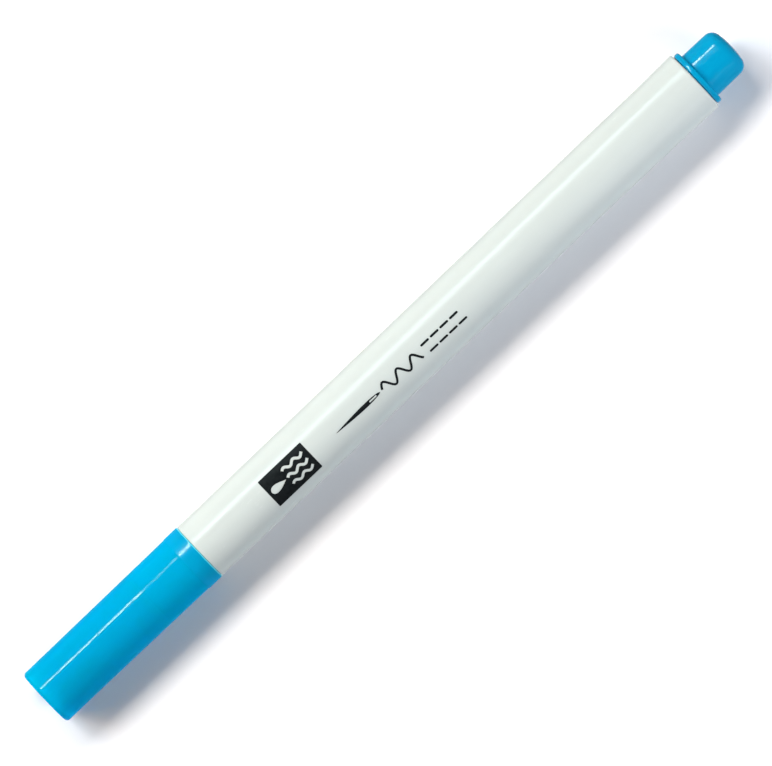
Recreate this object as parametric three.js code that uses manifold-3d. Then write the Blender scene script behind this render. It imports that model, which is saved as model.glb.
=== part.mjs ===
// A slim fabric marking pen lying along X on Z = 0: its capped nib end is at -X, its end plug at +X.
// Millimetres. Every round piece is turned about the pen's axis, with a facet facing down, so the pen lies still.

import * as THREE from 'three';
import { mergeVertices } from 'three/addons/utils/BufferGeometryUtils.js';
import Module from 'manifold-3d';

const wasm = await Module();
wasm.setup();

// The whole pen
const PEN_LENGTH = 140;
const SIDES = 48; // facets round every turned piece
const SEAM = 0.1; // open line between two pieces that meet face to face
const FIT = 0.05; // radial play between a piece and the bore that holds it
const OVERLAP = 0.15; // how deep an added rib or lug is sunk into its wall

// Cap: lengths are measured from its closed end
const CAP_LENGTH = 31.5;
const CAP_END_RADIUS = 4.77;
const CAP_WAIST_RADIUS = 4.88;
const CAP_CORNER = 0.45;
const CAP_END_WALL = 1.3;
const COLLAR_RADIUS = 4.95;
const COLLAR_LENGTH = 2.6;
const COLLAR_STEP = 0.15;
const CAP_BORE_RADIUS = 4.2;
const COUNTERBORE_RADIUS = 4.5;
const COUNTERBORE_DEPTH = 1.3;
const COUNTERBORE_TAPER = 0.3;
const MOUTH_CHAMFER = 0.1;
const GRIP_RIBS = 24;
const GRIP_RIB_WIDTH = 0.35;
const GRIP_RIB_LENGTH = 7.2;
const GRIP_RIB_SETBACK = 2.9;

// Seal liner inside the cap
const LINER_START = 1.6;
const LINER_WALL = 0.5;
const LINER_END_WALL = 0.7;
const LINER_RIM_GAP = 0.4;
const LINER_CORNER = 0.4;
const LINER_RIBS = 6;
const LINER_RIB_WIDTH = 0.6;
const LINER_RIB_LENGTH = 9;

// Nose section: its neck is held by the cap's grip ribs, its seal land by the liner
const NECK_LENGTH = 10.2;
const NECK_RADIUS = 3.95;
const NECK_CORNER = 0.3;
const SEAL_LAND_RADIUS = 3.0;
const SEAL_LAND_LENGTH = 1.5;
const CONE_LENGTH = 8.7;
const CONE_TIP_RADIUS = 1.55;
const CONE_TIP_CHAMFER = 0.2;
const NOSE_FLANGE_RADIUS = 4.35;
const NOSE_FLANGE_THICKNESS = 0.9;
const SPIGOT_RADIUS = 3.85;
const SPIGOT_LENGTH = 7;
const SPIGOT_CHAMFER = 0.4;
const NOSE_HOLLOW_RADIUS = 2.7;
const NIB_GUIDE_LENGTH = 12; // stretch of the nose whose bore guides the nib
const NOSE_HOLLOW_TAPER = 1.5;
const AIR_GROOVE_WIDTH = 0.5;
const AIR_GROOVE_DEPTH = 0.25;

// Nib
const NIB_RADIUS = 1.0;
const NIB_PROJECTION = 4.3;
const NIB_POINT_LENGTH = 1.9;
const NIB_POINT_RADIUS = 0.35;
const NIB_TAIL_LENGTH = 1.2;
const NIB_TAIL_RADIUS = 0.6;
const NIB_DEPTH_IN_CORE = 6;

// Ink reservoir
const CORE_RADIUS = 3.3;
const CORE_SOCKET_DEPTH = 6.4;
const CORE_SOCKET_TAPER = 0.6;
const CORE_GAP = 0.3; // to the nose in front of the reservoir and to the plug behind it
const WRAP_THICKNESS = 0.14;
const WRAP_SLIT = THREE.MathUtils.degToRad(24);

// Barrel: lengths are measured from its front face
const BARREL_FRONT_RADIUS = 4.855;
const BARREL_MIDDLE_RADIUS = 4.975;
const BARREL_BACK_RADIUS = 5.08;
const BARREL_RIM_RADIUS = 5.2;
const FLARE_LENGTH = 9;
const BARREL_EDGE = 0.12;
const RIM_ROUNDING = 0.3;
const BORE_FRONT_RADIUS = SPIGOT_RADIUS + FIT;
const BORE_REAR_RADIUS = 4.25;
const HOLDING_LUGS = 6;
const HOLDING_LUG_WIDTH = 0.6;
const HOLDING_LUG_GAP = 1.5; // from the lugs' ends to the nose and to the plug

// End plug
const PLUG_HEAD_LENGTH = 6.4;
const PLUG_HEAD_RADIUS = 3.95;
const PLUG_HEAD_DRAFT = 0.05;
const PLUG_HEAD_ROUNDING = 1.6;
const PLUG_CROWN = 0.15;
const PLUG_FLAT_RADIUS = 1.6;
const PLUG_FLANGE_RADIUS = 4.8;
const PLUG_FLANGE_THICKNESS = 0.9;
const PLUG_FLANGE_ROUNDING = 0.3;
const PLUG_SPIGOT_LENGTH = 8.6;
const PLUG_SPIGOT_RADIUS = 4.1;
const PLUG_SPIGOT_CHAMFER = 0.5;
const PLUG_HOLLOW_RADIUS = 3.1;
const PLUG_HEAD_HOLLOW_RADIUS = 2.8;
const PLUG_END_WALL = 1.2;
const CRUSH_RIBS = 8;
const CRUSH_RIB_WIDTH = 0.5;

// Places that follow from the sizes above
const CAP_END = -PEN_LENGTH / 2;
const BARREL_FRONT = CAP_END + CAP_LENGTH + SEAM;
const PLUG_FLANGE_BACK = PEN_LENGTH / 2 - PLUG_HEAD_LENGTH;
const BARREL_LENGTH = PLUG_FLANGE_BACK - PLUG_FLANGE_THICKNESS - SEAM - BARREL_FRONT;
const AXIS_HEIGHT = BARREL_RIM_RADIUS * Math.cos(Math.PI / SIDES);
const NECK_FRONT = -NECK_LENGTH - SEAM;
const SEAL_LAND_FRONT = NECK_FRONT - SEAL_LAND_LENGTH;
const NOSE_TIP = SEAL_LAND_FRONT - CONE_LENGTH;
const LINER_RADIUS = SEAL_LAND_RADIUS + FIT + LINER_WALL;
const LINER_RIM = CAP_LENGTH - NECK_LENGTH - LINER_RIM_GAP;
const NIB_BORE_RADIUS = NIB_RADIUS + FIT;
const CORE_START = SPIGOT_LENGTH + CORE_GAP;
const CORE_END = BARREL_LENGTH - PLUG_SPIGOT_LENGTH - CORE_GAP;
const WRAP_RADIUS = CORE_RADIUS + FIT + WRAP_THICKNESS;

// Points of an arc in a profile: the centre and the points are [along the axis, radius], angles in degrees.
function arc([along, radius], size, from, to, steps = 4) {
  return Array.from({ length: steps + 1 }, (_, i) => {
    const angle = THREE.MathUtils.degToRad(from + ((to - from) * i) / steps);
    return [along + size * Math.cos(angle), radius + size * Math.sin(angle)];
  });
}

// A profile of [along, radius] points, outer wall first, turned about X.
function turned(profile) {
  const points = profile.map(([along, radius]) => new THREE.Vector2(radius, along));
  const geometry = new THREE.LatheGeometry(points, SIDES, Math.PI / SIDES);
  return geometry.rotateZ(-Math.PI / 2);
}

// A closed geometry as a solid that can be cut and joined.
function solid(geometry) {
  const bare = geometry.clone();
  bare.deleteAttribute('normal');
  bare.deleteAttribute('uv');
  const merged = mergeVertices(bare, 1e-4);
  const corners = merged.index.array;
  const triangles = [];
  for (let i = 0; i < corners.length; i += 3) {
    const [a, b, c] = corners.subarray(i, i + 3);
    if (a !== b && b !== c && c !== a) triangles.push(a, b, c);
  }
  const mesh = new wasm.Mesh({
    numProp: 3,
    vertProperties: new Float32Array(merged.attributes.position.array),
    triVerts: new Uint32Array(triangles),
  });
  return new wasm.Manifold(mesh);
}

// A solid as the geometry of a mesh.
function surface(shape) {
  const { vertProperties, triVerts } = shape.getMesh();
  const geometry = new THREE.BufferGeometry();
  geometry.setAttribute('position', new THREE.BufferAttribute(vertProperties, 3));
  geometry.setIndex(new THREE.BufferAttribute(triVerts, 1));
  geometry.computeVertexNormals();
  return geometry;
}

// Straight bars parallel to the axis, spaced evenly round it between two radii.
function bars(count, width, start, end, innerRadius, outerRadius) {
  return Array.from({ length: count }, (_, i) => {
    const bar = new THREE.BoxGeometry(end - start, width, outerRadius - innerRadius);
    bar.translate((start + end) / 2, 0, (innerRadius + outerRadius) / 2);
    bar.rotateX((2 * Math.PI * i) / count);
    return solid(bar);
  });
}

function joined(base, additions) {
  return additions.reduce((whole, piece) => whole.add(piece), base);
}

function part(name, shape, color, roughness, metalness = 0) {
  const material = new THREE.MeshStandardMaterial({ color, roughness, metalness });
  const mesh = new THREE.Mesh(surface(shape), material);
  mesh.name = name;
  return mesh;
}

// Thin-walled cap: flat closed end, long slight draft, raised collar, and grip ribs in the mouth.
function capShell() {
  const collarStart = CAP_LENGTH - COLLAR_LENGTH;
  const boreStart = CAP_LENGTH - COUNTERBORE_DEPTH;
  const wall = turned([
    [0, 0],
    ...arc([CAP_CORNER, CAP_END_RADIUS - CAP_CORNER], CAP_CORNER, 180, 90),
    [collarStart - COLLAR_STEP, CAP_WAIST_RADIUS],
    [collarStart, COLLAR_RADIUS],
    [CAP_LENGTH - MOUTH_CHAMFER, COLLAR_RADIUS],
    [CAP_LENGTH, COLLAR_RADIUS - MOUTH_CHAMFER],
    [CAP_LENGTH, COUNTERBORE_RADIUS],
    [boreStart, COUNTERBORE_RADIUS],
    [boreStart - COUNTERBORE_TAPER, CAP_BORE_RADIUS],
    [CAP_END_WALL, CAP_BORE_RADIUS],
    [CAP_END_WALL, 0],
  ]);
  const ribEnd = CAP_LENGTH - GRIP_RIB_SETBACK;
  const ribs = bars(
    GRIP_RIBS,
    GRIP_RIB_WIDTH,
    ribEnd - GRIP_RIB_LENGTH,
    ribEnd,
    NECK_RADIUS + FIT,
    CAP_BORE_RADIUS + OVERLAP,
  );
  return joined(solid(wall), ribs);
}

// Cup that closes round the nose's seal land, centred in the cap by short ribs.
function innerCap() {
  const bore = LINER_RADIUS - LINER_WALL;
  const cup = turned([
    [LINER_START, 0],
    ...arc([LINER_START + LINER_CORNER, LINER_RADIUS - LINER_CORNER], LINER_CORNER, 180, 90, 3),
    [LINER_RIM, LINER_RADIUS],
    [LINER_RIM, bore],
    [LINER_START + LINER_END_WALL, bore],
    [LINER_START + LINER_END_WALL, 0],
  ]);
  const ribStart = LINER_START + LINER_CORNER;
  const ribs = bars(
    LINER_RIBS,
    LINER_RIB_WIDTH,
    ribStart,
    ribStart + LINER_RIB_LENGTH,
    LINER_RADIUS - OVERLAP,
    CAP_BORE_RADIUS - FIT,
  );
  return joined(solid(cup), ribs);
}

// Tapering tube with a flared rear rim, and lugs inside that hold the reservoir clear of the wall.
function barrel() {
  const flareStart = BARREL_LENGTH - FLARE_LENGTH;
  const tube = turned([
    [0, BORE_FRONT_RADIUS],
    [0, BARREL_FRONT_RADIUS - BARREL_EDGE],
    [BARREL_EDGE, BARREL_FRONT_RADIUS],
    [BARREL_LENGTH / 2, BARREL_MIDDLE_RADIUS],
    [flareStart, BARREL_BACK_RADIUS],
    ...arc([BARREL_LENGTH - RIM_ROUNDING, BARREL_RIM_RADIUS - RIM_ROUNDING], RIM_ROUNDING, 90, 0, 3),
    [BARREL_LENGTH, BORE_REAR_RADIUS],
    [0, BORE_FRONT_RADIUS],
  ]);
  const lugs = bars(
    HOLDING_LUGS,
    HOLDING_LUG_WIDTH,
    SPIGOT_LENGTH + HOLDING_LUG_GAP,
    BARREL_LENGTH - PLUG_SPIGOT_LENGTH - HOLDING_LUG_GAP,
    WRAP_RADIUS + FIT,
    BORE_REAR_RADIUS + OVERLAP,
  );
  return joined(solid(tube), lugs);
}

// Cone, seal land, neck, hidden flange and spigot in one moulding, with an air groove beside the nib.
function noseSection() {
  const flangeBack = -SEAM / 2;
  const flangeFront = flangeBack - NOSE_FLANGE_THICKNESS;
  const guideEnd = NOSE_TIP + NIB_GUIDE_LENGTH;
  const shell = turned([
    [NOSE_TIP, NIB_BORE_RADIUS],
    [NOSE_TIP, CONE_TIP_RADIUS - CONE_TIP_CHAMFER],
    [NOSE_TIP + CONE_TIP_CHAMFER, CONE_TIP_RADIUS],
    [SEAL_LAND_FRONT, SEAL_LAND_RADIUS],
    [NECK_FRONT, SEAL_LAND_RADIUS],
    ...arc([NECK_FRONT + NECK_CORNER, NECK_RADIUS - NECK_CORNER], NECK_CORNER, 180, 90, 3),
    [flangeFront, NECK_RADIUS],
    [flangeFront, NOSE_FLANGE_RADIUS],
    [flangeBack, NOSE_FLANGE_RADIUS],
    [flangeBack, SPIGOT_RADIUS],
    [SPIGOT_LENGTH - SPIGOT_CHAMFER, SPIGOT_RADIUS],
    [SPIGOT_LENGTH, SPIGOT_RADIUS - SPIGOT_CHAMFER],
    [SPIGOT_LENGTH, NOSE_HOLLOW_RADIUS],
    [guideEnd + NOSE_HOLLOW_TAPER, NOSE_HOLLOW_RADIUS],
    [guideEnd, NIB_BORE_RADIUS],
    [NOSE_TIP, NIB_BORE_RADIUS],
  ]);
  const groove = bars(
    1,
    AIR_GROOVE_WIDTH,
    NOSE_TIP - SEAM,
    guideEnd + SEAM,
    NIB_BORE_RADIUS - AIR_GROOVE_DEPTH,
    NIB_BORE_RADIUS + AIR_GROOVE_DEPTH,
  );
  return solid(shell).subtract(groove[0]);
}

// Fibre rod with a rounded point in front and a short taper behind.
function nib() {
  const tip = NOSE_TIP - NIB_PROJECTION;
  const tail = CORE_START + NIB_DEPTH_IN_CORE;
  return solid(turned([
    [tip, 0],
    ...arc([tip + NIB_POINT_RADIUS, 0], NIB_POINT_RADIUS, 180, 115, 3).slice(1),
    [tip + NIB_POINT_LENGTH, NIB_RADIUS],
    [tail - NIB_TAIL_LENGTH, NIB_RADIUS],
    [tail, NIB_TAIL_RADIUS],
    [tail, 0],
  ]));
}

// Fibre bundle with the socket that the nib's tail is pushed into.
function reservoirCore() {
  const socketEnd = CORE_START + CORE_SOCKET_DEPTH;
  return solid(turned([
    [CORE_START, NIB_BORE_RADIUS],
    [CORE_START, CORE_RADIUS],
    [CORE_END, CORE_RADIUS],
    [CORE_END, 0],
    [socketEnd, 0],
    [socketEnd - CORE_SOCKET_TAPER, NIB_BORE_RADIUS],
    [CORE_START, NIB_BORE_RADIUS],
  ]));
}

// Film sleeve with a slit along its whole length.
function reservoirWrap() {
  const inner = WRAP_RADIUS - WRAP_THICKNESS;
  const outline = new THREE.Shape();
  outline.absarc(0, 0, WRAP_RADIUS, WRAP_SLIT / 2, 2 * Math.PI - WRAP_SLIT / 2, false);
  outline.absarc(0, 0, inner, 2 * Math.PI - WRAP_SLIT / 2, WRAP_SLIT / 2, true);
  outline.closePath();
  const sleeve = new THREE.ExtrudeGeometry(outline, {
    depth: CORE_END - CORE_START,
    bevelEnabled: false,
    curveSegments: SIDES,
  });
  sleeve.rotateY(Math.PI / 2);
  sleeve.translate(CORE_START, 0, 0);
  return solid(sleeve);
}

// Hollow plug: rounded head, thin flange, and a ribbed spigot inside the barrel's rear end.
function endPlug() {
  const flangeFront = BARREL_LENGTH + SEAM;
  const flangeBack = flangeFront + PLUG_FLANGE_THICKNESS;
  const tail = flangeBack + PLUG_HEAD_LENGTH;
  const spigotFront = BARREL_LENGTH - PLUG_SPIGOT_LENGTH;
  const flangeEdge = PLUG_FLANGE_RADIUS - PLUG_FLANGE_ROUNDING;
  const headEdge = PLUG_HEAD_RADIUS - PLUG_HEAD_DRAFT - PLUG_HEAD_ROUNDING;
  const shoulder = tail - PLUG_CROWN - PLUG_HEAD_ROUNDING;
  const hollowEnd = tail - PLUG_END_WALL;
  const body = turned([
    [spigotFront, PLUG_HOLLOW_RADIUS],
    [spigotFront, PLUG_SPIGOT_RADIUS - PLUG_SPIGOT_CHAMFER],
    [spigotFront + PLUG_SPIGOT_CHAMFER, PLUG_SPIGOT_RADIUS],
    [flangeFront, PLUG_SPIGOT_RADIUS],
    ...arc([flangeFront + PLUG_FLANGE_ROUNDING, flangeEdge], PLUG_FLANGE_ROUNDING, 180, 90, 3),
    ...arc([flangeBack - PLUG_FLANGE_ROUNDING, flangeEdge], PLUG_FLANGE_ROUNDING, 90, 0, 3),
    [flangeBack, PLUG_HEAD_RADIUS],
    ...arc([shoulder, headEdge], PLUG_HEAD_ROUNDING, 90, 15, 5),
    [tail, PLUG_FLAT_RADIUS],
    [tail, 0],
    [hollowEnd, 0],
    [hollowEnd, PLUG_HEAD_HOLLOW_RADIUS],
    [flangeFront, PLUG_HOLLOW_RADIUS],
    [spigotFront, PLUG_HOLLOW_RADIUS],
  ]);
  const ribs = bars(
    CRUSH_RIBS,
    CRUSH_RIB_WIDTH,
    spigotFront + PLUG_SPIGOT_CHAMFER,
    flangeFront,
    PLUG_SPIGOT_RADIUS - OVERLAP,
    BORE_REAR_RADIUS - 2 * FIT,
  );
  return joined(solid(body), ribs);
}

const cap = new THREE.Group();
cap.position.x = CAP_END;
cap.add(
  part('cap_shell', capShell(), 0x10a8dc, 0.28),
  part('inner_cap', innerCap(), 0xd6eef5, 0.45),
);

const body = new THREE.Group();
body.position.x = BARREL_FRONT;
body.add(
  part('barrel', barrel(), 0xe9f1ec, 0.22),
  part('nose_section', noseSection(), 0xe4ece9, 0.3),
  part('nib', nib(), 0xc8dff0, 0.95),
  part('reservoir_core', reservoirCore(), 0xb9dcea, 1),
  part('reservoir_wrap', reservoirWrap(), 0xf2f6f7, 0.2),
  part('end_plug', endPlug(), 0x12a5d6, 0.3),
);

const pen = new THREE.Group();
pen.position.z = AXIS_HEIGHT;
pen.add(cap, body);

export default pen;
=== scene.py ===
import math

import bmesh
import bpy
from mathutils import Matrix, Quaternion, Vector


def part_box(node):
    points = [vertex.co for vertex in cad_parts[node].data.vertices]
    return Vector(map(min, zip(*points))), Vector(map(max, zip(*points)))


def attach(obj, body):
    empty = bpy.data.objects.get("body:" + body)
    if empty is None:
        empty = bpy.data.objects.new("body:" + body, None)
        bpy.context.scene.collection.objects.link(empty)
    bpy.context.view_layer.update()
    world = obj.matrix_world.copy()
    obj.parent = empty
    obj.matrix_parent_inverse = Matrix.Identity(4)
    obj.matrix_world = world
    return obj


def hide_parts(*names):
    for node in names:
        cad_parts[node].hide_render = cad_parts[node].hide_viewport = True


# A slim fabric marking pen, lying along X with its cap at -X.
# Sizes of the pen are in millimetres, and meshes are made in metres. Materials and the studio are in metres.
# Every piece is turned about the pen's axis. An angle round the axis starts at the top and grows towards -Y.

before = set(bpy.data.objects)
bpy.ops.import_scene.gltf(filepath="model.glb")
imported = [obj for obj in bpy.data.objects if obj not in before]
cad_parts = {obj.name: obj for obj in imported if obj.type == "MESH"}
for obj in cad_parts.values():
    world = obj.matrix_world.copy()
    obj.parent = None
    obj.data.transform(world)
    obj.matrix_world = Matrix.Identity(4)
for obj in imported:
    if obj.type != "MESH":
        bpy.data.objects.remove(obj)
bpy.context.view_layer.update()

MM = 0.001
SIDES = 144  # round a turned piece
SUPPORT = 0.12  # how far from its edges a long wall gets a ring, so that its shading stays straight


def reach(node):
    """Where a round CAD node starts and ends along the pen, and its greatest radius."""
    low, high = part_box(node)
    return low.x / MM, high.x / MM, max(high.y - low.y, high.z - low.z) / 2 / MM


CAP_START, CAP_END, COLLAR_RADIUS = reach("cap_shell")
LINER_START, LINER_END, LINER_RIB_RADIUS = reach("inner_cap")
BARREL_START, BARREL_END, RIM_RADIUS = reach("barrel")
NOSE_START, NOSE_END, NOSE_FLANGE_RADIUS = reach("nose_section")
NIB_START, NIB_END, NIB_RADIUS = reach("nib")
CORE_START, CORE_END, CORE_RADIUS = reach("reservoir_core")
WRAP_START, WRAP_END, WRAP_RADIUS = reach("reservoir_wrap")
PLUG_START, PLUG_END, PLUG_FLANGE_RADIUS = reach("end_plug")
AXIS_HEIGHT = RIM_RADIUS


# Profiles: lists of [along the pen, radius]

def arc(along, radius, size, start, end, steps=6):
    """Points of a circle's arc about (along, radius), from one angle to another in degrees."""
    points = []
    for i in range(steps + 1):
        angle = math.radians(start + (end - start) * i / steps)
        points.append((along + size * math.cos(angle), radius + size * math.sin(angle)))
    return points


def supported(profile):
    """The profile with a point near both ends of every long stretch."""
    points = []
    for (x0, r0), (x1, r1) in zip(profile, profile[1:]):
        points.append((x0, r0))
        length = math.hypot(x1 - x0, r1 - r0)
        if length > 4 * SUPPORT:
            for share in (SUPPORT / length, 1 - SUPPORT / length):
                points.append((x0 + (x1 - x0) * share, r0 + (r1 - r0) * share))
    points.append(profile[-1])
    return points


def turned(name, profile, sides=SIDES, shape=None):
    """A piece turned about the pen's axis. Its profile runs from the axis to the axis, or closes on itself.
    shape(x, radius, angle) may give a point another radius, for ribs and grooves."""
    mesh = bpy.data.meshes.new(name)
    bm = bmesh.new()
    closed = profile[0] == profile[-1]
    points = supported(profile)
    if closed:
        points = points[:-1]
    rings = []
    for x, radius in points:
        if radius < 1e-6:
            rings.append([bm.verts.new((x * MM, 0, AXIS_HEIGHT * MM))])
            continue
        ring = []
        for i in range(sides):
            angle = 2 * math.pi * i / sides
            r = shape(x, radius, angle) if shape else radius
            ring.append(bm.verts.new((
                x * MM,
                -r * math.sin(angle) * MM,
                (AXIS_HEIGHT + r * math.cos(angle)) * MM,
            )))
        rings.append(ring)
    pairs = list(zip(rings, rings[1:]))
    if closed:
        pairs.append((rings[-1], rings[0]))
    for near, far in pairs:
        for i in range(sides):
            j = (i + 1) % sides
            corners = [near[i % len(near)], near[j % len(near)], far[j % len(far)], far[i % len(far)]]
            face = list(dict.fromkeys(corners))
            if len(face) > 2:
                bm.faces.new(face)
    bmesh.ops.recalc_face_normals(bm, faces=bm.faces)
    bm.to_mesh(mesh)
    bm.free()
    return finished(name, mesh)


def finished(name, mesh, sharp=40):
    """An object from a mesh, smooth but for its sharp edges."""
    mesh.shade_smooth()
    mesh.set_sharp_from_angle(angle=math.radians(sharp))
    piece = bpy.data.objects.new(name, mesh)
    bpy.context.scene.collection.objects.link(piece)
    return piece


def near_bar(angle, count, half_width, radius):
    """How far inside one of count even bars an angle lies: 1 on the bar, 0 off it, with a soft edge."""
    edge = 0.4 * half_width
    spacing = 2 * math.pi / count
    off = abs((angle + spacing / 2) % spacing - spacing / 2) * radius
    return max(0.0, min(1.0, (half_width - off) / edge + 0.5))


# Materials

def material(name):
    """A new node material, its tree and its Principled shader."""
    made = bpy.data.materials.new(name)
    made.use_nodes = True
    shader = made.node_tree.nodes["Principled BSDF"]
    return made, made.node_tree, shader


def node(tree, kind, inputs=None, **settings):
    """A new node with its settings and inputs. An input takes another node's output or a plain value."""
    made = tree.nodes.new(kind)
    for key, value in settings.items():
        setattr(made, key, value)
    for key, value in (inputs or {}).items():
        if isinstance(value, bpy.types.NodeSocket):
            tree.links.new(value, made.inputs[key])
        else:
            made.inputs[key].default_value = value
    return made


def object_place(tree):
    return node(tree, "ShaderNodeTexCoord").outputs["Object"]


def stretched(tree, place, scale):
    """The place coordinate times a scale along each axis."""
    mapping = node(tree, "ShaderNodeMapping", {"Vector": place, "Scale": scale})
    return mapping.outputs["Vector"]


def noise(tree, place, scale, detail, roughness=0.5):
    inputs = {"Vector": place, "Scale": scale, "Detail": detail, "Roughness": roughness}
    return node(tree, "ShaderNodeTexNoise", inputs).outputs["Fac"]


def ramp(tree, value, low, high, to_low=0.0, to_high=1.0):
    inputs = {"Value": value, "From Min": low, "From Max": high, "To Min": to_low, "To Max": to_high}
    return node(tree, "ShaderNodeMapRange", inputs).outputs["Result"]


def mixed(tree, share, first, second):
    """Two colours mixed by a share."""
    mix = node(tree, "ShaderNodeMix", data_type="RGBA")
    for socket, value in ((mix.inputs[0], share), (mix.inputs[6], first), (mix.inputs[7], second)):
        if isinstance(value, bpy.types.NodeSocket):
            tree.links.new(value, socket)
        else:
            socket.default_value = value if isinstance(value, float) else (*value, 1)
    return mix.outputs[2]


def bump(tree, height, distance, strength, normal=None):
    inputs = {"Height": height, "Distance": distance, "Strength": strength}
    if normal is not None:
        inputs["Normal"] = normal
    return node(tree, "ShaderNodeBump", inputs).outputs["Normal"]


def moulded(name, colour, rough, grain=0.000012, spread=0.04, gloss=0.5, subsurface=0.0, ior=1.49):
    """Glossy moulded plastic: slow flow marks along the pen, a fine grain and faint scuffs.
    grain is the height of its relief, and spread is how much its roughness varies."""
    scatter_depth = 0.001
    made, tree, shader = material(name)
    place = object_place(tree)
    flow = noise(tree, stretched(tree, place, (0.12, 1, 1)), 420, 2)
    fine = noise(tree, place, 3200, 2)
    scuff = noise(tree, stretched(tree, place, (0.5, 2.5, 2.5)), 900, 4, 0.65)
    tint = mixed(tree, ramp(tree, flow, 0.3, 0.7), tuple(c * 0.97 for c in colour), colour)
    tree.links.new(tint, shader.inputs["Base Color"])
    rubbed = ramp(tree, scuff, 0.62, 0.8, 0.0, 2.2 * spread)
    waves = ramp(tree, flow, 0.3, 0.7, rough - spread / 2, rough + spread / 2)
    roughness = node(tree, "ShaderNodeMath", {0: waves, 1: rubbed}, operation="ADD").outputs[0]
    tree.links.new(roughness, shader.inputs["Roughness"])
    surface = bump(tree, flow, grain * 1.5, 0.5)
    surface = bump(tree, fine, grain * 0.4, 0.5, surface)
    tree.links.new(surface, shader.inputs["Normal"])
    shader.inputs["IOR"].default_value = ior
    shader.inputs["Specular IOR Level"].default_value = gloss
    shader.inputs["Subsurface Weight"].default_value = subsurface
    shader.inputs["Subsurface Radius"].default_value = (1.0, 1.0, 1.0)
    shader.inputs["Subsurface Scale"].default_value = scatter_depth
    return made


def translucent(made, clear, glow, tint, colour):
    """Lets light through a plastic. The share clear goes straight through each face and takes the tint.
    Of the rest, the share glow comes out scattered on the far side in the colour."""
    tree = made.node_tree
    shader = tree.nodes["Principled BSDF"]
    scattered = node(tree, "ShaderNodeBsdfTranslucent", {"Color": (*colour, 1)})
    straight = node(tree, "ShaderNodeBsdfTransparent", {"Color": (*tint, 1)})
    body = node(tree, "ShaderNodeMixShader", {0: glow, 1: shader.outputs[0], 2: scattered.outputs[0]})
    wall = node(tree, "ShaderNodeMixShader", {0: clear, 1: body.outputs[0], 2: straight.outputs[0]})
    tree.links.new(wall.outputs[0], tree.nodes["Material Output"].inputs["Surface"])
    return made


# Pieces

# Zones of the cap, by their place in its list of materials. The outside over the hollow is the first one.
CAP_INSIDE, CAP_NECK, CAP_COLLAR, CAP_RIM = 1, 2, 3, 4


def cap_shell():
    """Translucent cap: flat closed end with a gate mark, slight draft, raised collar, and grip ribs inside.
    Its faces are sorted into zones that differ in gloss. The rim's zone gets a paler colour, which is a
    painted highlight on the mouth's edge."""
    corner = 0.6
    end_radius = COLLAR_RADIUS - 0.18
    waist = COLLAR_RADIUS - 0.07
    collar = CAP_END - 2.6
    mouth = CAP_END + 0.05
    rim = 0.16
    bore = 4.2
    counterbore = 4.5
    end_wall = CAP_START + 1.3
    step = CAP_END - 1.3
    neck_zone = CAP_START + 21.4
    rib_start, rib_end = CAP_END - 10.1, CAP_END - 2.9
    ribs, rib_height, rib_half_width = 24, 0.2, 0.175

    def ribbed(x, radius, angle):
        if radius > bore + 0.01 or not rib_start <= x <= rib_end:
            return radius
        return radius - rib_height * near_bar(angle, ribs, rib_half_width, bore)

    piece = turned("cap_shell_moulding", [
        (CAP_START + 0.12, 0),
        (CAP_START + 0.12, 0.35),
        (CAP_START + 0.2, 0.45),
        (CAP_START + 0.2, 1.0),
        *arc(CAP_START + 0.2, 1.2, 0.2, 270, 180, 3)[1:],
        *arc(CAP_START + corner, end_radius - corner, corner, 180, 90),
        (neck_zone, end_radius + (waist - end_radius) * 0.7),
        (collar - 0.15, waist),
        (collar - 0.05, waist + 0.045),
        (collar, COLLAR_RADIUS),
        *arc(mouth - rim, COLLAR_RADIUS - rim, rim, 90, 0, 4),
        (mouth, counterbore),
        (step, counterbore),
        (step - 0.3, bore),
        (rib_end + 0.01, bore),
        (rib_end, bore),
        (rib_start, bore),
        (rib_start - 0.01, bore),
        *arc(end_wall + 0.3, bore - 0.3, 0.3, 90, 180, 3),
        (end_wall, 0),
    ], sides=288, shape=ribbed)
    for face in piece.data.polygons:
        across = math.hypot(face.center.y, face.center.z - AXIS_HEIGHT * MM) / MM
        along = face.center.x / MM
        if across < bore + 0.05 and along > end_wall - 0.1:
            face.material_index = CAP_INSIDE
        elif along > mouth - rim:
            face.material_index = CAP_RIM
        elif along > collar - 0.1:
            face.material_index = CAP_COLLAR
        elif along > neck_zone:
            face.material_index = CAP_NECK
    return piece


def inner_cap():
    """Milky liner cup with centring ribs, closed round the nose's seal land."""
    radius, wall = 3.55, 0.5
    rib_start, rib_end = LINER_START + 0.4, LINER_START + 9.4
    ribs, rib_half_width = 6, 0.3

    def ribbed(x, r, angle):
        if r < radius - 0.01 or not rib_start <= x <= rib_end:
            return r
        return r + (LINER_RIB_RADIUS - radius) * near_bar(angle, ribs, rib_half_width, radius)

    return turned("inner_cap_liner", [
        (LINER_START, 0),
        *arc(LINER_START + 0.4, radius - 0.4, 0.4, 180, 90),
        (rib_start + 0.01, radius),
        (rib_end - 0.2, radius),
        (rib_end + 0.01, radius),
        *arc(LINER_END - 0.12, radius - 0.12, 0.12, 90, 0, 3),
        (LINER_END, radius - wall),
        *arc(LINER_START + 1.1, radius - wall - 0.4, 0.4, 90, 180, 3),
        (LINER_START + 0.7, 0),
    ], shape=ribbed)


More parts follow.
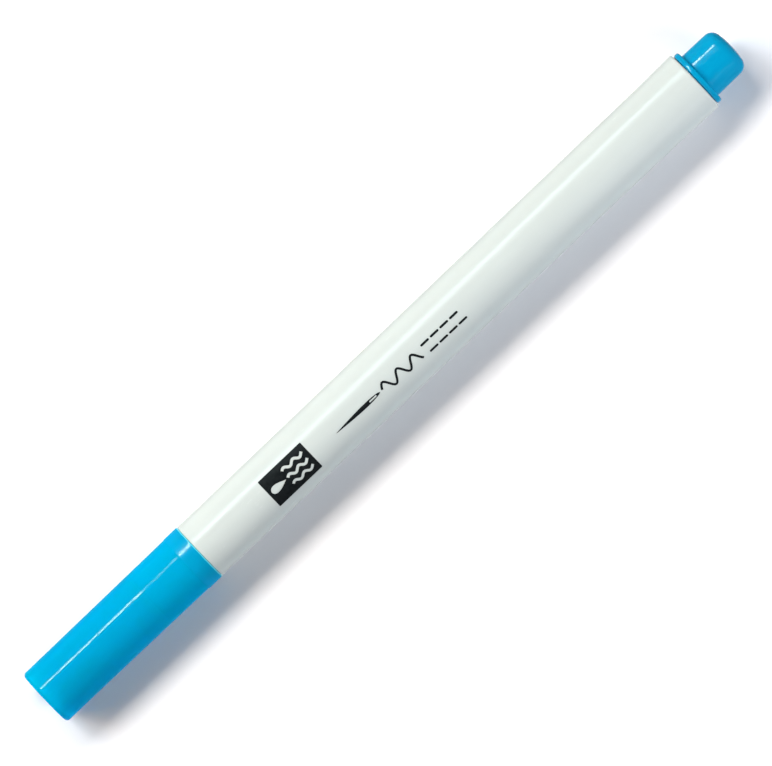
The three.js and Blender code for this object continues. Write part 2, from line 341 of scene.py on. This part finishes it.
def barrel_radius(x):
    """The barrel's outer radius along the pen, before its front edge and rear rim are rounded."""
    front, middle, back = RIM_RADIUS - 0.345, RIM_RADIUS - 0.225, RIM_RADIUS - 0.12
    centre = (BARREL_START + BARREL_END) / 2
    flare = BARREL_END - 9
    if x < centre:
        return front + (middle - front) * (x - BARREL_START) / (centre - BARREL_START)
    if x < flare:
        return middle + (back - middle) * (x - centre) / (flare - centre)
    rise = (x - flare) / (BARREL_END - flare)
    return back + (RIM_RADIUS - back) * rise ** 1.5


def barrel():
    """White tube: long taper, a soft flare to its rounded rear rim, and lugs inside round the reservoir."""
    bore_front, bore_rear = 3.9, 4.25
    lug_start, lug_end = BARREL_START + 8.5, BARREL_END - 10.1
    lugs, lug_half_width, lug_gap = 6, 0.3, 0.06
    steps = 40
    rounding = 0.3
    front_rounding = 0.06

    def lugged(x, radius, angle):
        if radius > bore_rear + 0.01 or not lug_start <= x <= lug_end:
            return radius
        return radius - (radius - WRAP_RADIUS - lug_gap) * near_bar(angle, lugs, lug_half_width, radius)

    def bore(x):
        return bore_front + (bore_rear - bore_front) * (x - BARREL_START) / (BARREL_END - BARREL_START)

    wall = []
    for i in range(1, steps):
        x = BARREL_START + (BARREL_END - rounding - BARREL_START) * i / steps
        wall.append((x, barrel_radius(x)))
    profile = [
        (BARREL_START, bore_front),
        *arc(BARREL_START + front_rounding, barrel_radius(BARREL_START) - front_rounding, front_rounding,
             180, 90, 4),
        *wall,
        *arc(BARREL_END - rounding, RIM_RADIUS - rounding, rounding, 90, 0, 6),
        *arc(BARREL_END - 0.15, bore_rear + 0.15, 0.15, 0, -90, 3),
        (lug_end + 0.01, bore(lug_end)),
        (lug_end, bore(lug_end)),
        (lug_start, bore(lug_start)),
        (lug_start - 0.01, bore(lug_start)),
        (BARREL_START, bore_front),
    ]
    return turned("barrel_tube", profile, shape=lugged)


def nose_section():
    """Cone with a fine lip, seal land, neck, hidden flange and spigot."""
    land, neck, bore, tip = 3.0, 3.95, NIB_RADIUS + 0.05, 1.55
    spigot, hollow = 3.85, 2.7
    neck_start = CAP_END - 10.2
    land_start = neck_start - 1.5
    flange_end = BARREL_START - 0.05
    flange_start = flange_end - 0.9
    guide_end = NOSE_START + 12
    return turned("nose_moulding", [
        (NOSE_START + 0.1, bore),
        *arc(NOSE_START + 0.1, bore + 0.1, 0.1, 270, 180, 3)[1:],
        *arc(NOSE_START + 0.25, tip - 0.25, 0.25, 180, 100, 5),
        (land_start - 0.3, land - 0.05),
        (land_start, land),
        (neck_start, land),
        *arc(neck_start + 0.3, neck - 0.3, 0.3, 180, 90),
        (flange_start, neck),
        (flange_start, NOSE_FLANGE_RADIUS - 0.1),
        *arc(flange_start + 0.1, NOSE_FLANGE_RADIUS - 0.1, 0.1, 180, 90, 3)[1:],
        *arc(flange_end - 0.05, NOSE_FLANGE_RADIUS - 0.05, 0.05, 90, 0, 2),
        (flange_end, spigot),
        (NOSE_END - 0.4, spigot),
        (NOSE_END, spigot - 0.4),
        (NOSE_END, hollow),
        (guide_end + 1.5, hollow),
        (guide_end, bore),
        (NOSE_START + 0.1, bore),
    ])


def nib():
    """Fibre rod with a rounded point, its surface combed by the fibres."""
    point = 1.9
    tip = 0.35
    bevel = 1.2
    relief = 0.008

    def combed(x, radius, angle):
        comb = math.sin(23 * angle + 3 * math.sin(2.1 * x)) + 0.6 * math.sin(41 * angle + 1.7 * x)
        return radius + relief * comb * min(1.0, radius / NIB_RADIUS)

    profile = [(NIB_START, 0), *arc(NIB_START + tip, 0, tip, 180, 112, 6)[1:]]
    start_x, start_r = profile[-1]
    for i in range(1, 9):
        share = i / 8
        x = start_x + (NIB_START + point - start_x) * share
        profile.append((x, start_r + (NIB_RADIUS - start_r) * math.sin(math.pi / 2 * share ** 0.9)))
    steps = 40
    for i in range(1, steps):
        profile.append((NIB_START + point + (NIB_END - bevel - NIB_START - point) * i / steps, NIB_RADIUS))
    profile += [(NIB_END - bevel, NIB_RADIUS), (NIB_END, 0.6), (NIB_END, 0)]
    return turned("nib_rod", profile, shape=combed)


def reservoir_core():
    """Fibre bundle with the nib's socket, grooved lengthwise by its tow."""
    edge = 0.15
    socket = NIB_RADIUS + 0.05
    socket_end = CORE_START + 6.4
    groove_depth = 0.02

    def grooved(x, radius, angle):
        if radius < CORE_RADIUS - 0.01:
            return radius
        return radius - groove_depth * abs(math.sin(17 * angle + 0.05 * x))

    return turned("reservoir_bundle", [
        (CORE_START, socket),
        *arc(CORE_START + edge, CORE_RADIUS - edge, edge, 180, 90, 4),
        *arc(CORE_END - edge, CORE_RADIUS - edge, edge, 90, 0, 4),
        (CORE_END, 0),
        (socket_end, 0),
        (CORE_START + 5.8, socket),
        (CORE_START, socket),
    ], shape=grooved)


def reservoir_wrap():
    """Slit film sleeve. Its slit faces down."""
    inner = WRAP_RADIUS - 0.12
    half_slit = math.radians(12)
    sides, steps = 120, 24
    bm = bmesh.new()
    rows = []
    for i in range(steps + 1):
        x = WRAP_START + (WRAP_END - WRAP_START) * i / steps
        for radius in (WRAP_RADIUS, inner):
            row = []
            for j in range(sides + 1):
                angle = math.pi + half_slit + (2 * math.pi - 2 * half_slit) * j / sides
                row.append(bm.verts.new((
                    x * MM,
                    -radius * math.sin(angle) * MM,
                    (AXIS_HEIGHT + radius * math.cos(angle)) * MM,
                )))
            rows.append(row)
    for i in range(steps):
        for k in (0, 1):
            near, far = rows[2 * i + k], rows[2 * i + 2 + k]
            for j in range(sides):
                bm.faces.new((near[j], near[j + 1], far[j + 1], far[j]))
        for j in (0, sides):
            bm.faces.new((rows[2 * i][j], rows[2 * i + 1][j], rows[2 * i + 3][j], rows[2 * i + 2][j]))
    for i in (0, 2 * steps):
        for j in range(sides):
            bm.faces.new((rows[i][j], rows[i][j + 1], rows[i + 1][j + 1], rows[i + 1][j]))
    bmesh.ops.recalc_face_normals(bm, faces=bm.faces)
    mesh = bpy.data.meshes.new("reservoir_film")
    bm.to_mesh(mesh)
    bm.free()
    return finished("reservoir_film", mesh)


def end_plug():
    """Blue plug: crowned head with a soft shoulder, thin flange, ribbed hollow spigot."""
    head, draft, rounding, crown = 3.95, 0.05, 1.6, 0.15
    head_start = PLUG_END - 6.4
    flange_start = head_start - 0.9
    spigot, hollow, head_hollow = 4.1, 3.1, 2.8
    edge = 0.3
    ribs, rib_height, rib_half_width = 8, 0.05, 0.25

    def ribbed(x, radius, angle):
        if not (PLUG_START + 0.5 <= x <= BARREL_END and radius > spigot - 0.05):
            return radius
        return radius + rib_height * near_bar(angle, ribs, rib_half_width, spigot)

    return turned("end_plug_moulding", [
        (PLUG_START, hollow),
        (PLUG_START, spigot - 0.5),
        (PLUG_START + 0.5, spigot),
        (BARREL_END, spigot),
        (flange_start, spigot),
        *arc(flange_start + edge, PLUG_FLANGE_RADIUS - edge, edge, 180, 90),
        *arc(head_start - edge, PLUG_FLANGE_RADIUS - edge, edge, 90, 0),
        *arc(head_start + 0.12, head + 0.12, 0.12, 180, 270, 3),
        *arc(PLUG_END - crown - rounding, head - draft - rounding, rounding, 90, 12, 12),
        (PLUG_END - 0.03, 1.7),
        (PLUG_END, 1.3),
        (PLUG_END, 0.5),
        (PLUG_END - 0.08, 0.42),
        (PLUG_END - 0.08, 0),
        (PLUG_END - 1.2, 0),
        (PLUG_END - 1.2, head_hollow),
        (flange_start, hollow),
        (PLUG_START, hollow),
    ], shape=ribbed)


# Print on the barrel: flat outlines in millimetres, bent round it

def capsule(x0, y0, x1, y1, width, steps=8):
    """Outline of a straight stroke with round ends."""
    along = math.atan2(y1 - y0, x1 - x0)
    outline = []
    for (cx, cy), turn in (((x1, y1), -math.pi / 2), ((x0, y0), math.pi / 2)):
        for i in range(steps + 1):
            angle = along + turn + math.pi * i / steps
            outline.append((cx + width / 2 * math.cos(angle), cy + width / 2 * math.sin(angle)))
    return outline


def rounded_block(width, height, corner, steps=6):
    outline = []
    for cx, cy, turn in ((1, 1, 0), (-1, 1, 90), (-1, -1, 180), (1, -1, 270)):
        for i in range(steps + 1):
            angle = math.radians(turn + 90 * i / steps)
            outline.append((
                cx * (width / 2 - corner) + corner * math.cos(angle),
                cy * (height / 2 - corner) + corner * math.sin(angle),
            ))
    return outline


def ribbon(centre_line, width):
    """Outline of a stroke of even width along a line of points."""
    left, right = [], []
    for i, (x, y) in enumerate(centre_line):
        ax, ay = centre_line[max(i - 1, 0)]
        bx, by = centre_line[min(i + 1, len(centre_line) - 1)]
        length = math.hypot(bx - ax, by - ay)
        nx, ny = -(by - ay) / length * width / 2, (bx - ax) / length * width / 2
        left.append((x + nx, y + ny))
        right.append((x - nx, y - ny))
    return left + right[::-1]


def drop(cx, cy, size, steps=24):
    """Outline of a water drop with its point towards +X."""
    outline = []
    for i in range(steps):
        t = 2 * math.pi * i / steps
        reach_out = size * math.cos(t)
        outline.append((cx + reach_out, cy + 0.62 * size * math.sin(t) * math.sin(t / 2) ** 1.4))
    return outline


def printed(name, outlines, start, centre_angle, ink=0.012):
    """Ink on the barrel: outlines filled where an odd number of them overlap, bent round the barrel.
    The outlines' x = 0 lies at start along the pen, and their y = 0 at centre_angle round it."""
    curve = bpy.data.curves.new(name, "CURVE")
    curve.dimensions = "2D"
    curve.fill_mode = "BOTH"
    curve.extrude = 1.0
    for outline in outlines:
        spline = curve.splines.new("POLY")
        spline.points.add(len(outline) - 1)
        for point, (x, y) in zip(spline.points, outline):
            point.co = (x, y, 0, 1)
        spline.use_cyclic_u = True
    flat = bpy.data.objects.new(name, curve)
    mesh = bpy.data.meshes.new_from_object(flat)
    bpy.data.objects.remove(flat)
    bm = bmesh.new()
    bm.from_mesh(mesh)
    bmesh.ops.remove_doubles(bm, verts=bm.verts, dist=1e-5)
    span = max(abs(v.co.y) for v in bm.verts)
    step = 0.2
    for i in range(-math.ceil(span / step), math.ceil(span / step) + 1):
        geometry = bm.verts[:] + bm.edges[:] + bm.faces[:]
        bmesh.ops.bisect_plane(bm, geom=geometry, plane_co=(0, i * step, 0), plane_no=(0, 1, 0))
    for v in bm.verts:
        x = start + v.co.x
        surface = barrel_radius(x)
        angle = centre_angle - v.co.y / surface
        radius = surface + (ink if v.co.z > 0 else -ink)
        v.co = Vector((
            x * MM,
            -radius * math.sin(angle) * MM,
            (AXIS_HEIGHT + radius * math.cos(angle)) * MM,
        ))
    bmesh.ops.recalc_face_normals(bm, faces=bm.faces)
    bm.to_mesh(mesh)
    bm.free()
    return finished(name, mesh, sharp=30)


def wave(x0, x1, y, height, length, width):
    """Outline of a wavy stroke."""
    steps = 12 * math.ceil((x1 - x0) / length)
    line = []
    for i in range(steps + 1):
        x = x0 + (x1 - x0) * i / steps
        line.append((x, y + height * math.sin(2 * math.pi * (x - x0) / length)))
    return ribbon(line, width)


def print_block():
    """Black block with a water drop and three ripples left clear in it."""
    width, height = 8.6, 5.22
    clear = [drop(-2.35, 0.0, 1.45)]
    for row in (-1, 0, 1):
        clear.append(wave(-0.55, 3.5, 1.3 * row, 0.26, 1.9, 0.44))
    outlines = [rounded_block(width, height, 0.15), *clear]
    return printed("print_block", outlines, BARREL_START + 13.25 + width / 2, math.radians(12.8))


def print_line():
    """A needle, its thread in waves, and the stitches that it has sewn."""
    stroke = 0.36
    stitch, gap = 1.3, 0.65
    needle, half_thickness, steps = 9.0, 0.5, 24
    shaft = []
    for i in range(steps + 1):
        taper = 0.25 + 0.75 * i / steps
        shaft.append((needle * i / steps, half_thickness * math.sin(math.pi * i / steps) ** 0.5 * taper))
    outlines = [shaft + [(x, -y) for x, y in shaft[-2:0:-1]]]
    outlines.append(capsule(6.9, 0, 8.1, 0, 0.24))
    outlines.append(wave(9.4, 17.2, 0, 0.85, 2.9, stroke))
    for row in (1, -1):
        for i in range(4):
            x = 18.1 + (stitch + gap) * i + (0.5 if row < 0 else 0)
            outlines.append(capsule(x, 0.8 * row, x + stitch, 0.8 * row, stroke))
    return printed("print_line", outlines, BARREL_START + 26.6, math.radians(15))


# Materials of the pieces

def print_ink():
    made, tree, shader = material("print_ink")
    place = object_place(tree)
    cover = noise(tree, place, 1600, 4, 0.6)
    colour = mixed(tree, ramp(tree, cover, 0.35, 0.75), (0.006, 0.008, 0.009), (0.016, 0.019, 0.02))
    tree.links.new(colour, shader.inputs["Base Color"])
    tree.links.new(ramp(tree, cover, 0.3, 0.7, 0.42, 0.55), shader.inputs["Roughness"])
    shader.inputs["Specular IOR Level"].default_value = 0.25
    tree.links.new(bump(tree, cover, 0.000004, 0.5), shader.inputs["Normal"])
    return made


def fibre(name, colour, streak_colour):
    """Bonded fibre: streaks along the pen, soft and dull."""
    made, tree, shader = material(name)
    place = object_place(tree)
    streaks = noise(tree, stretched(tree, place, (0.06, 1, 1)), 6500, 3, 0.6)
    blotch = noise(tree, place, 500, 2)
    soaked = mixed(tree, ramp(tree, blotch, 0.35, 0.65), colour, tuple(c * 0.8 for c in colour))
    tinted = mixed(tree, ramp(tree, streaks, 0.35, 0.7), soaked, streak_colour)
    tree.links.new(tinted, shader.inputs["Base Color"])
    shader.inputs["Roughness"].default_value = 0.85
    shader.inputs["Sheen Weight"].default_value = 0.3
    shader.inputs["Subsurface Weight"].default_value = 0.2
    shader.inputs["Subsurface Scale"].default_value = 0.0004
    tree.links.new(bump(tree, streaks, 0.00003, 0.9), shader.inputs["Normal"])
    return made


CAP_BLUE = (0.0, 0.87, 0.83)
COLLAR_BLUE = (0.0, 0.93, 0.92)
# The rim's paler, whiter colour is a painted highlight along the cap's mouth edge, not a colour of the
# plastic.
RIM_PAINTED_HIGHLIGHT = (0.12, 0.76, 0.88)
CAP_GLOW = (0.0, 0.69, 1.0)
CAP_TINT = (0.002, 0.5, 0.92)
PLUG_BLUE = (0.0, 0.345, 0.59)
WHITE = (0.62, 0.675, 0.64)
LINER_BLUE = (0.25, 0.4, 0.59)
FILM = (0.8, 0.86, 0.88)


def cap_outside(name, rough, gloss, clear=0.16, ior=1.49, colour=CAP_BLUE):
    """Smooth outer face of the cap's wall."""
    plastic = moulded(name, colour, rough, grain=0.0000007, spread=0.006, gloss=gloss, ior=ior)
    return translucent(plastic, clear, 0.65, CAP_TINT, CAP_GLOW)


def cap_inside(name):
    """Inner face of the cap's wall, which holds back little more of the light."""
    return translucent(moulded(name, CAP_BLUE, 0.3), 0.86, 0.5, (0.4, 0.84, 0.99), CAP_GLOW)


def film(name):
    return translucent(moulded(name, FILM, 0.12), 0.5, 0.3, (0.95, 0.97, 0.98), FILM)


# Each piece with its body, the CAD node it replaces, its slot and its materials. The cap's are in the order
# of its zones.
made = [
    (cap_shell(), "cap", "cap_shell", "cap_plastic", [
        cap_outside("cap_plastic", 0.07, 0.9),
        cap_inside("cap_plastic_inside"),
        cap_outside("cap_plastic_neck", 0.07, 0.25, clear=0.22),
        cap_outside("cap_plastic_collar", 0.18, 1.0, clear=0.2, ior=1.8, colour=COLLAR_BLUE),
        # The rim's colour is a painted highlight on the mouth's edge.
        moulded("cap_rim_painted_highlight", RIM_PAINTED_HIGHLIGHT, 0.3),
    ]),
    (inner_cap(), "cap", "inner_cap", "liner_plastic",
     [moulded("liner_plastic", LINER_BLUE, 0.4, gloss=0.3, subsurface=0.1)]),
    (barrel(), "pen", "barrel", "barrel_plastic",
     [moulded("barrel_plastic", WHITE, 0.24, gloss=0.35, subsurface=0.15)]),
    (nose_section(), "pen", "nose_section", "nose_plastic",
     [moulded("nose_plastic", WHITE, 0.28, subsurface=0.15)]),
    (nib(), "pen", "nib", "nib_fibre",
     [fibre("nib_fibre", (0.05, 0.32, 0.7), (0.2, 0.5, 0.82))]),
    (reservoir_core(), "pen", "reservoir_core", "reservoir_fibre",
     [fibre("reservoir_fibre", (0.1, 0.4, 0.7), (0.4, 0.65, 0.8))]),
    (reservoir_wrap(), "pen", "reservoir_wrap", "wrap_film",
     [film("wrap_film")]),
    (end_plug(), "pen", "end_plug", "plug_plastic",
     [moulded("plug_plastic", PLUG_BLUE, 0.14, grain=0.000001, spread=0.01, gloss=0.95, subsurface=0.3)]),
]
for piece, body, cad_node, slot, looks in made:
    for look in looks:
        piece.data.materials.append(look)
    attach(piece, body)
    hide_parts(cad_node)

ink = print_ink()
for piece in (print_block(), print_line()):
    piece.data.materials.append(ink)
    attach(piece, "pen")


# Studio

def floor():
    """Pale paper. Away from the pen it turns into an evenly white backdrop, which only the camera sees."""
    size = 6.0
    paper_end, backdrop_start = 0.12, 0.34
    mesh = bpy.data.meshes.new("floor")
    bm = bmesh.new()
    bmesh.ops.create_grid(bm, x_segments=8, y_segments=8, size=size / 2)
    bm.to_mesh(mesh)
    bm.free()
    plane = bpy.data.objects.new("floor", mesh)
    bpy.context.scene.collection.objects.link(plane)
    made_floor, tree, shader = material("floor_paper")
    shader.inputs["Base Color"].default_value = (0.97, 0.97, 0.97, 1)
    shader.inputs["Roughness"].default_value = 0.9
    shader.inputs["Specular IOR Level"].default_value = 0.0
    from_pen = node(tree, "ShaderNodeVectorMath", {0: object_place(tree)}, operation="LENGTH")
    backdrop = ramp(tree, from_pen.outputs["Value"], paper_end, backdrop_start)
    seen = node(tree, "ShaderNodeLightPath").outputs["Is Camera Ray"]
    glow = node(tree, "ShaderNodeMath", {0: backdrop, 1: seen}, operation="MULTIPLY").outputs[0]
    shader.inputs["Emission Color"].default_value = (1, 1, 1, 1)
    tree.links.new(glow, shader.inputs["Emission Strength"])
    mesh.materials.append(made_floor)
    plane.visible_glossy = False


def softbox(name, place, aim, width, height, watts, colour, roll=0, soft=True, shiny=True):
    """An area light. One that isn't soft shows in gloss only. One that isn't shiny doesn't show in it."""
    light = bpy.data.lights.new(name, "AREA")
    light.shape = "RECTANGLE"
    light.size, light.size_y = width, height
    light.energy = watts
    light.color = colour
    lamp = bpy.data.objects.new(name, light)
    bpy.context.scene.collection.objects.link(lamp)
    lamp.location = place
    towards = (Vector(aim) - Vector(place)).normalized()
    turn = Quaternion((0, 0, 1), math.radians(roll))
    lamp.rotation_euler = (towards.to_track_quat("-Z", "Y") @ turn).to_euler()
    lamp.visible_camera = False
    lamp.visible_diffuse = soft
    lamp.visible_glossy = shiny
    return lamp


def sky(colour, strength):
    """A dim room. The camera sees it white. Gloss sees it dark but for the lit table straight below, which
    stands in for the floor that gloss doesn't see."""
    table_edge, table_centre = -0.75, -0.98
    dark, bright = 0.02, 0.5
    world = bpy.data.worlds.new("studio")
    world.use_nodes = True
    tree = world.node_tree
    background = tree.nodes["Background"]
    background.inputs["Color"].default_value = (*colour, 1)
    background.inputs["Strength"].default_value = strength
    seen = node(tree, "ShaderNodeBackground", {"Color": (1, 1, 1, 1), "Strength": 1.0})
    direction = node(tree, "ShaderNodeTexCoord").outputs["Generated"]
    down = node(tree, "ShaderNodeSeparateXYZ", {0: direction}).outputs["Z"]
    table = ramp(tree, down, table_edge, table_centre, dark, bright)
    mirrored = node(tree, "ShaderNodeBackground", {"Color": (1, 1, 1, 1), "Strength": table})
    path = node(tree, "ShaderNodeLightPath")
    lit = node(tree, "ShaderNodeMixShader", {
        0: path.outputs["Is Glossy Ray"], 1: background.outputs[0], 2: mirrored.outputs[0],
    })
    whole = node(tree, "ShaderNodeMixShader", {
        0: path.outputs["Is Camera Ray"], 1: lit.outputs[0], 2: seen.outputs[0],
    })
    tree.links.new(whole.outputs[0], tree.nodes["World Output"].inputs["Surface"])
    bpy.context.scene.world = world


def camera():
    """Straight above the pen with a long lens, turned so that the pen rises to the right."""
    height = 2.0
    seen_width = 0.11414  # from the left to the right edge of the picture, at the height of the pen's axis
    sensor = 36
    turn = math.radians(43.55)
    centre = (-0.0013, -0.00092)
    data = bpy.data.cameras.new("camera")
    data.sensor_width = sensor
    data.lens = sensor * height / seen_width
    data.clip_start, data.clip_end = 0.1, 10
    eye = bpy.data.objects.new("camera", data)
    bpy.context.scene.collection.objects.link(eye)
    eye.location = (*centre, height + AXIS_HEIGHT * MM)
    eye.rotation_euler = (0, 0, -turn)
    bpy.context.scene.camera = eye


# Light comes from the pen's +Y side. A weak fill from the other side lightens the shadow.
# The streak makes the line of highlight along the pen.
floor()
camera()
sky((0.9, 0.97, 1.08), 0.05)
softbox("key", (-0.5, 0.36, 0.48), (-0.02, 0, 0), 0.3, 0.16, 1.45, (1.35, 0.94, 0.6), shiny=False)
softbox("left", (-0.3, 0.5, 0.5), (-0.05, 0, 0), 0.4, 0.3, 3.45, (0.84, 1, 1.13), shiny=False)
softbox("middle", (0.0, 0.37, 0.47), (0, 0, 0), 0.36, 0.16, 2.1, (1.03, 0.985, 0.95), shiny=False)
softbox("fill", (0.13, -0.2, 0.13), (0.04, 0, 0), 0.2, 0.12, 0.48, (0.94, 0.98, 1.09), shiny=False)
softbox("streak", (0.0, 0.5, 0.47), (0, 0, 0), 0.36, 0.04, 1.1, (0.84, 1.08, 1.12), roll=56, soft=False)
bpy.context.scene.view_settings.view_transform = "Standard"
